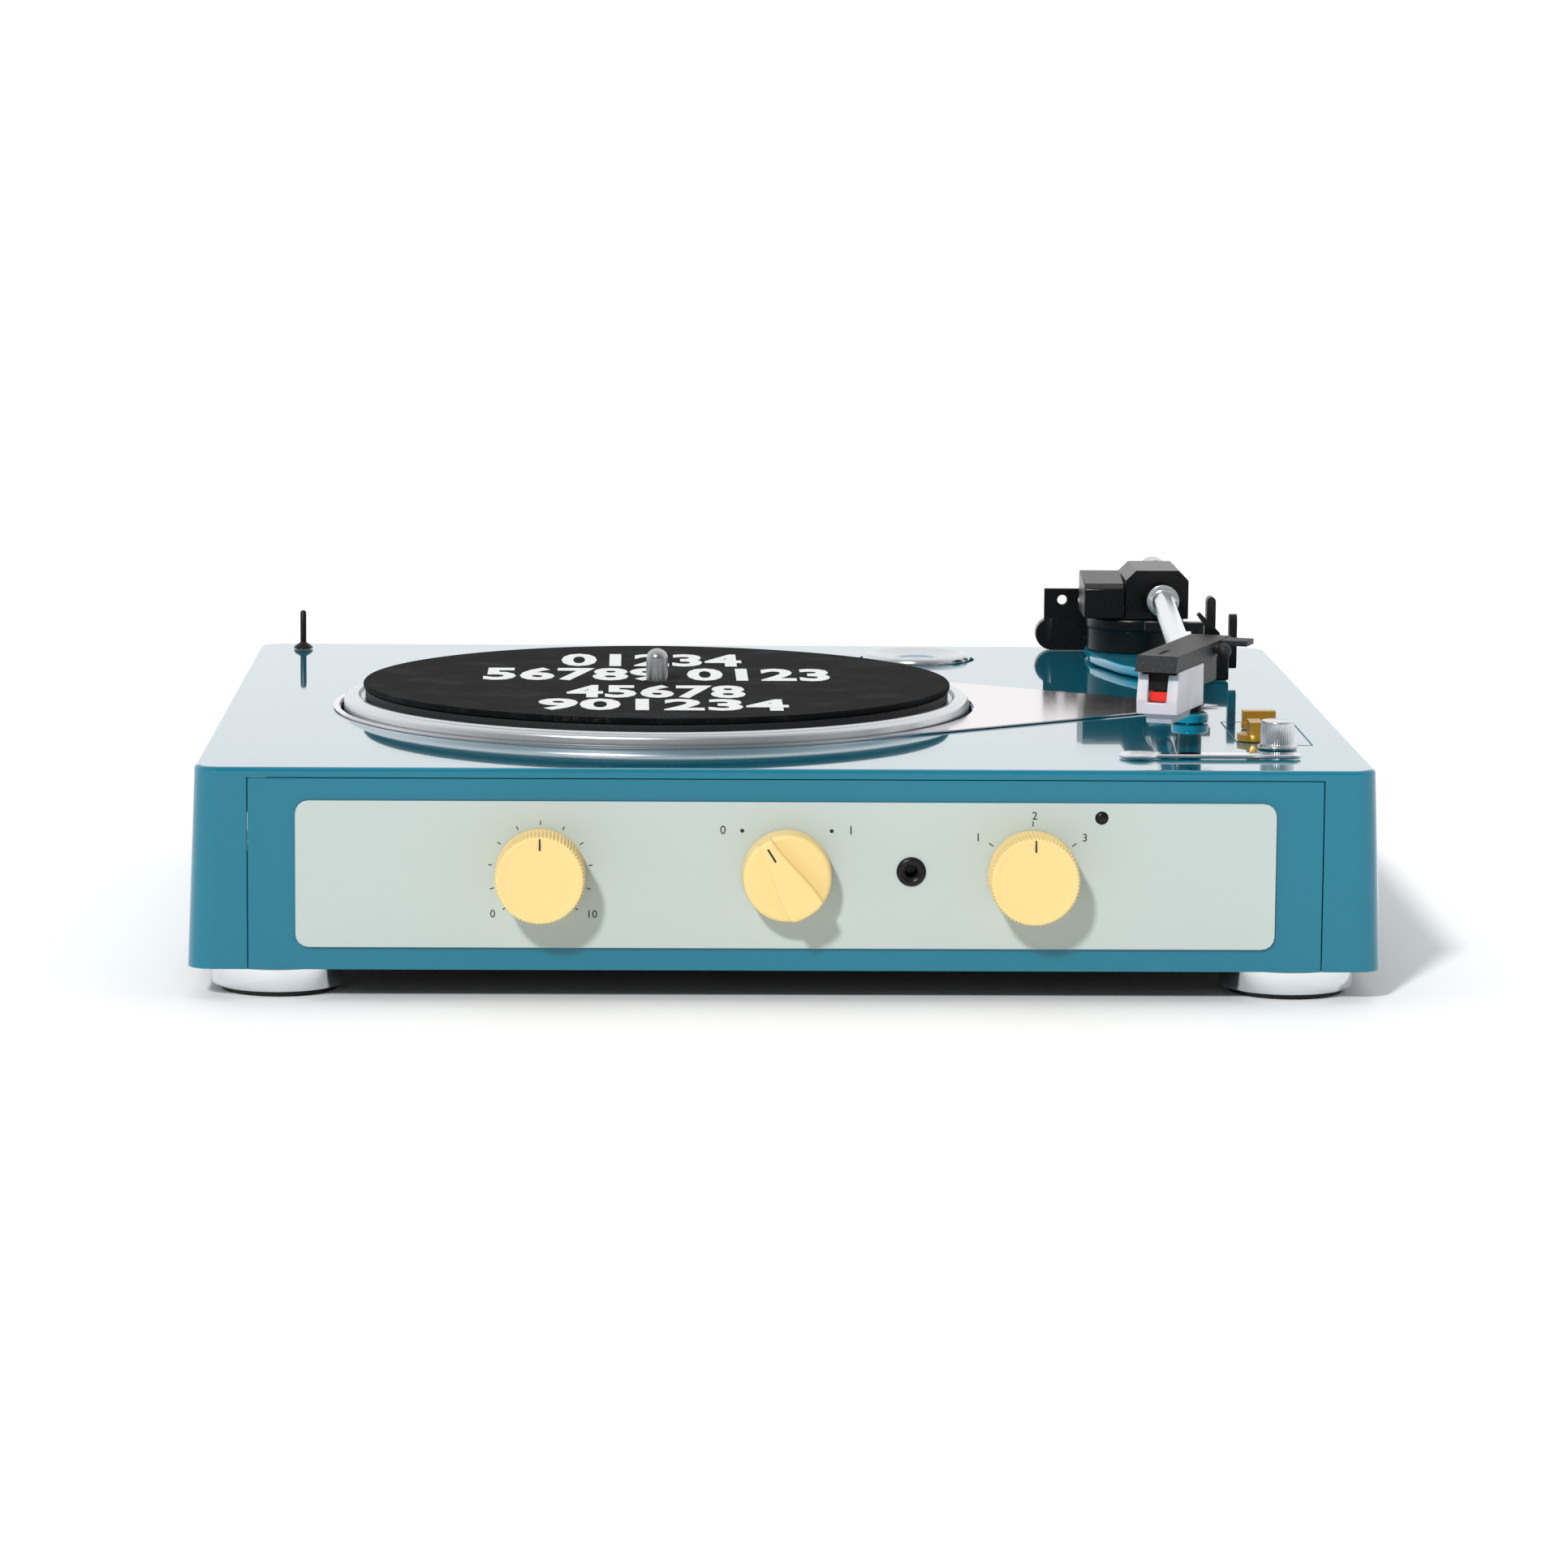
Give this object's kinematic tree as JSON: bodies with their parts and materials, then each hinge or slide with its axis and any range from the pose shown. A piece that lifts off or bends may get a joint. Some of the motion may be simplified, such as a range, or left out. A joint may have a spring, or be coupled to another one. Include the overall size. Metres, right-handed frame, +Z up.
{
  "type": "table-top record player",
  "caption": "Flat table-top record player in glossy teal with chrome feet, a pale control plate, cream knobs, a felt-covered platter and a tonearm with its stylus guard on.",
  "frame": {"origin": "on the table under the middle of the whole outline, knobs and rear sockets included", "axes": "+X to the right seen from the front, +Y towards the back, +Z up; the knobs face -Y"},
  "size_m": [0.3662, 0.3434, 0.1132],
  "materials": {
    "cabinet": "high gloss",
    "well": "satin",
    "face_plate": "satin",
    "black_plastic": "satin",
    "silver_plate": "satin",
    "chrome": "polished",
    "brass": "satin",
    "steel": "satin",
    "platter_metal": "satin",
    "rubber": "matte",
    "felt": "felt",
    "arm_metal": "satin",
    "headshell": "textured",
    "red_plastic": "satin",
    "milky_plastic": "milky",
    "gold": "satin",
    "cream_plastic": "satin",
    "board": "satin"
  },
  "bodies": {
    "cabinet": {"adapter_tray": "well", "amp_board": "board", "arm_plinth": "cabinet", "arm_rest_base": "cabinet", "arm_rest_post": "black_plastic", "aux_jack": "black_plastic", "base_cover": "black_plastic", "bearing_bush": "brass", "cabinet_shell": "cabinet", "cover_hinge_bracket": "black_plastic", "cover_pin": "black_plastic", "cue_base": "black_plastic", "drive_belt": "rubber", "face_plate": "face_plate", "foot_front_left": "chrome", "foot_front_right": "chrome", "foot_pad_front_left": "rubber", "foot_pad_front_right": "rubber", "foot_pad_rear_left": "rubber", "foot_pad_rear_right": "rubber", "foot_rear_left": "chrome", "foot_rear_right": "chrome", "front_panel": "cabinet", "led_lens": "black_plastic", "motor": "steel", "power_switch": "steel", "rear_sockets": "black_plastic", "select_switch": "steel", "speaker_left": "steel", "speaker_right": "steel", "sub_deck": "well", "teardrop_plate": "silver_plate", "tonearm_base": "black_plastic", "trim_bar": "chrome", "volume_pot": "steel"},
    "platter_body": {"platter": "platter_metal", "spindle": "steel", "rubber_mat": "rubber", "slipmat": "felt"},
    "pulley_body": {"motor_pulley": "brass"},
    "arm_swivel": {"tonearm_yoke": "black_plastic"},
    "arm": {"arm_block": "black_plastic", "arm_tube": "arm_metal", "counterweight": "steel", "headshell": "headshell", "cartridge": "black_plastic", "stylus": "red_plastic"},
    "guard": {"stylus_guard": "milky_plastic"},
    "clip": {"arm_clip": "black_plastic"},
    "cue_handle": {"cue_lever": "black_plastic"},
    "cue_lift": {"cue_platform": "black_plastic"},
    "speed_handle": {"speed_lever": "gold"},
    "autostop_handle": {"autostop_lever": "gold"},
    "pitch_body": {"pitch_knob": "platter_metal"},
    "volume_body": {"volume_knob": "cream_plastic"},
    "power_body": {"power_knob": "cream_plastic"},
    "select_body": {"select_knob": "cream_plastic"},
    "adapter": {"adapter_45": "platter_metal"}
  },
  "joints": [
    {"name": "platter_spin", "type": "hinge", "parent": "cabinet", "child": "platter_body", "pos_m": [-0.0391, -0.00475, 0.06], "axis": [0, 0, -1], "continuous": true},
    {"name": "motor_pulley_spin", "type": "hinge", "parent": "cabinet", "child": "pulley_body", "pos_m": [-0.08843, 0.0657, 0.066], "axis": [0, 0, -1], "continuous": true},
    {"name": "tonearm_swing", "type": "hinge", "parent": "cabinet", "child": "arm_swivel", "pos_m": [0.1395, 0.12865, 0.0885], "axis": [0, 0, -1], "range_deg": [0, 35]},
    {"name": "tonearm_lift", "type": "hinge", "parent": "arm_swivel", "child": "arm", "pos_m": [0.1395, 0.12865, 0.0953], "axis": [-1, 0, 0], "range_deg": [0, 15]},
    {"name": "stylus_guard_slide", "type": "slide", "parent": "arm", "child": "guard", "axis": [-0.3584, -0.9336, 0], "range_m": [0, 0.02]},
    {"name": "arm_clip_turn", "type": "hinge", "parent": "cabinet", "child": "clip", "pos_m": [0.13985, -0.04165, 0.1005], "axis": [0, -1, 0], "range_deg": [0, 35]},
    {"name": "cue_lever_turn", "type": "hinge", "parent": "cabinet", "child": "cue_handle", "pos_m": [0.159, 0.07265, 0.078], "axis": [1, 0, 0], "range_deg": [0, 50]},
    {"name": "cue_platform_slide", "type": "slide", "parent": "cabinet", "child": "cue_lift", "axis": [0, 0, -1], "range_m": [0, 0.005]},
    {"name": "speed_lever_turn", "type": "hinge", "parent": "cabinet", "child": "speed_handle", "pos_m": [0.15, -0.08585, 0.0723], "axis": [0, 0, 1], "range_deg": [-25, 25]},
    {"name": "autostop_lever_turn", "type": "hinge", "parent": "cabinet", "child": "autostop_handle", "pos_m": [0.1544, -0.05735, 0.0723], "axis": [0, 0, 1], "range_deg": [-25, 25]},
    {"name": "pitch_knob_turn", "type": "hinge", "parent": "cabinet", "child": "pitch_body", "pos_m": [0.1551, -0.10435, 0.0723], "axis": [0, 0, -1], "range_deg": [-135, 135]},
    {"name": "volume_knob_turn", "type": "hinge", "parent": "cabinet", "child": "volume_body", "pos_m": [-0.075, -0.15625, 0.04], "axis": [0, 1, 0], "range_deg": [-135, 135]},
    {"name": "power_knob_turn", "type": "hinge", "parent": "cabinet", "child": "power_body", "pos_m": [0, -0.15625, 0.04], "axis": [0, 1, 0], "range_deg": [0, 64]},
    {"name": "select_knob_turn", "type": "hinge", "parent": "cabinet", "child": "select_body", "pos_m": [0.075, -0.15625, 0.04], "axis": [0, 1, 0], "range_deg": [-54, 54]},
    {"name": "adapter_lift", "type": "slide", "parent": "cabinet", "child": "adapter", "axis": [0, 0, 1], "range_m": [0, 0.04]}
  ],
  "couplings": [
    {"joint": "motor_pulley_spin", "follows": "platter_spin", "ratio": 12},
    {"joint": "cue_platform_slide", "follows": "cue_lever_turn", "m_per_rad": 0.0057}
  ]
}
